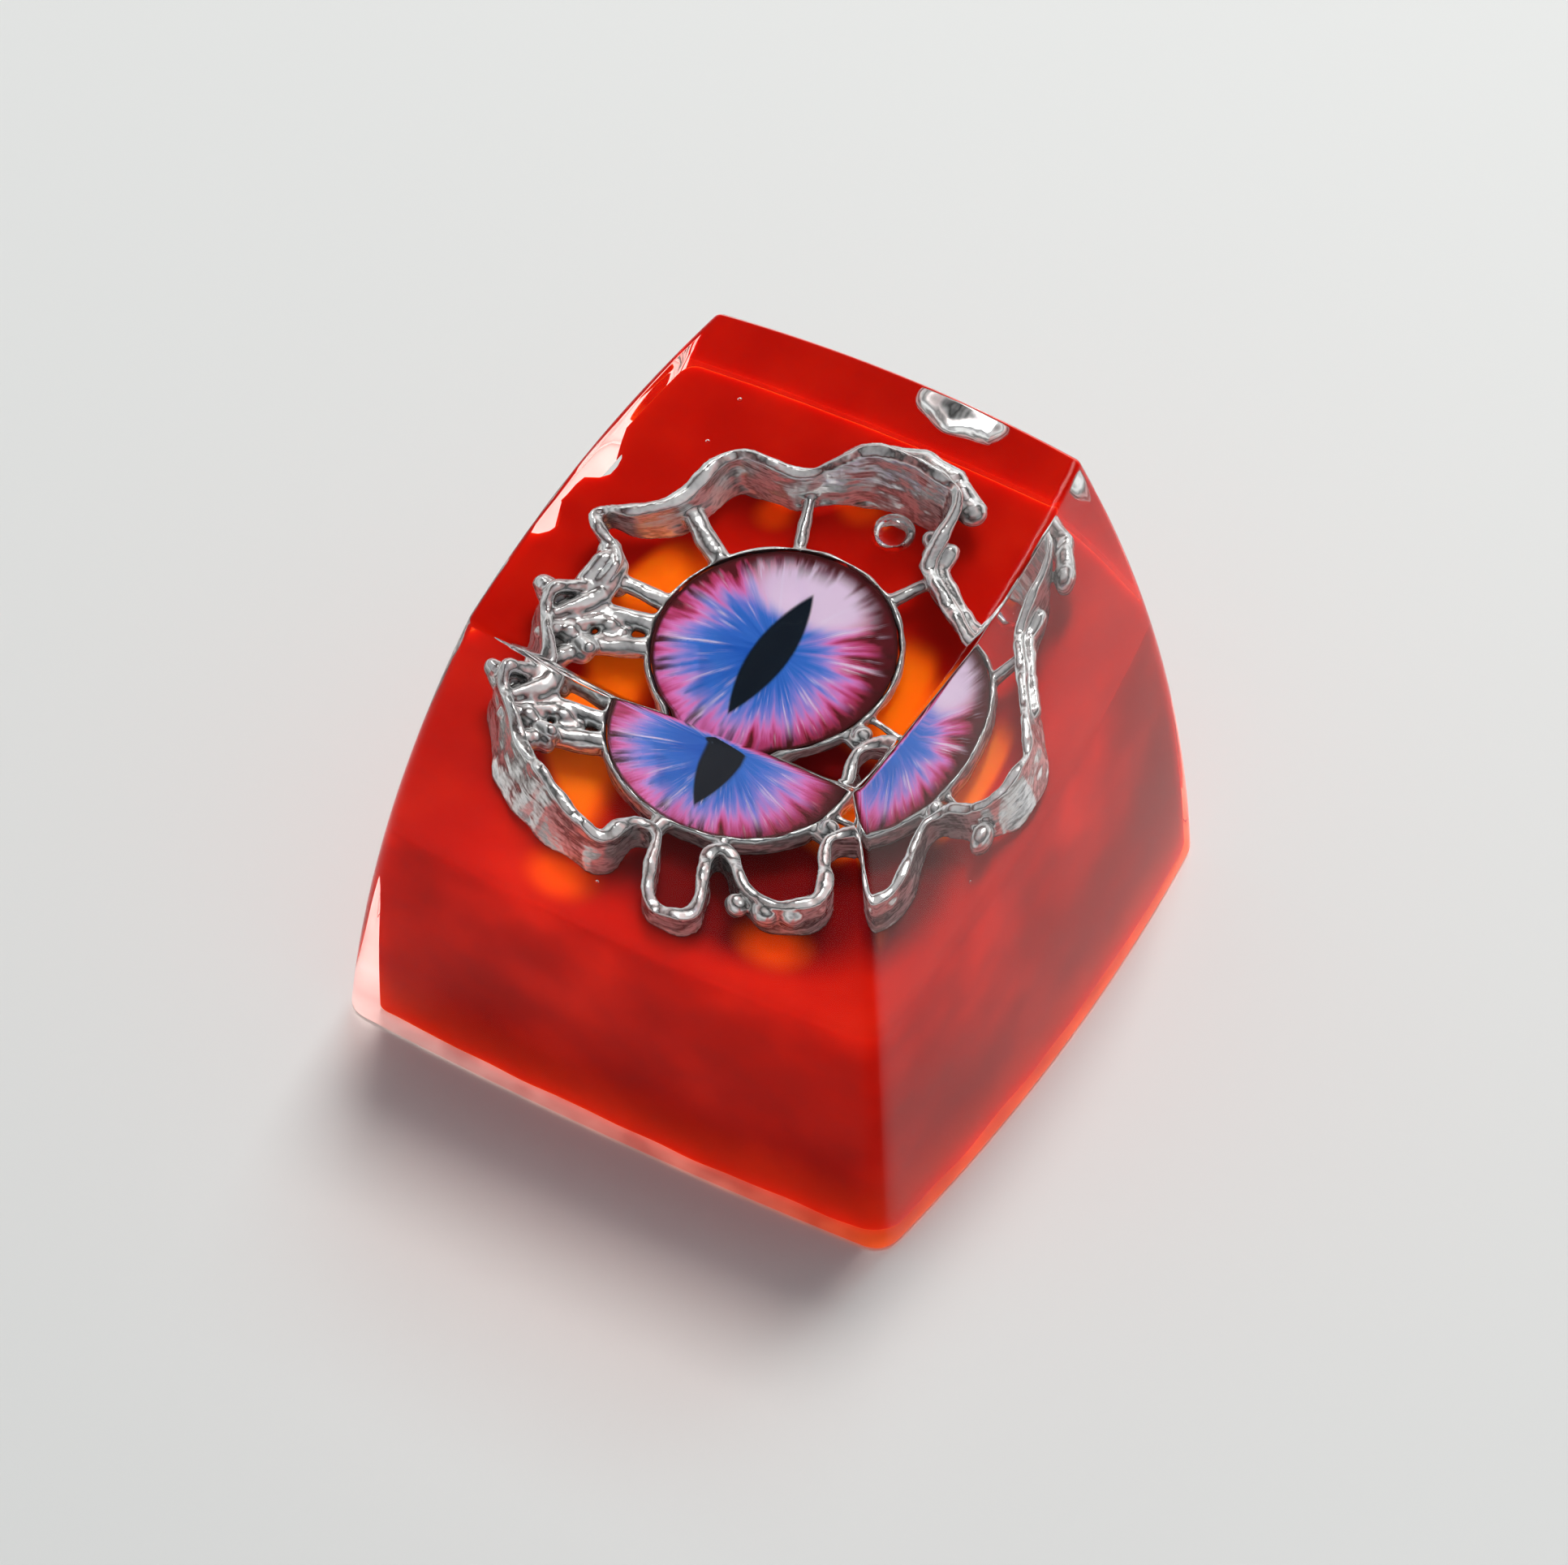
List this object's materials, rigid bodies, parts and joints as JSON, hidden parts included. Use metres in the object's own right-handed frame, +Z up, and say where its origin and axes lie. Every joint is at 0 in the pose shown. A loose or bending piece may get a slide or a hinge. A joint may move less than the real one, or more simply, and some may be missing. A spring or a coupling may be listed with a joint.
{
  "type": "artisan keycap",
  "caption": "Tall tapered resin keycap: clear outer casting over a red core, with a glass eye in a ruffled silver setting sunk inside and a cross socket underneath.",
  "frame": {"origin": "middle of the base, on the face that the rim stands on", "axes": "+Z up to the key top, +Y away from the typist, +X to the typist's right"},
  "size_m": [0.0184, 0.0179, 0.0152],
  "materials": {
    "clear_resin": "clear cast resin, polished",
    "red_resin": "deep red cast resin",
    "polished_silver": "cast silver alloy, polished",
    "dome_glass": "clear glass",
    "printed_card": "glossy colour print"
  },
  "bodies": {
    "root": {"clear_body": "clear_resin", "red_core": "red_resin", "ruffle_setting": "polished_silver", "eye_dome": "dome_glass", "eye_print": "printed_card"}
  },
  "joints": []
}
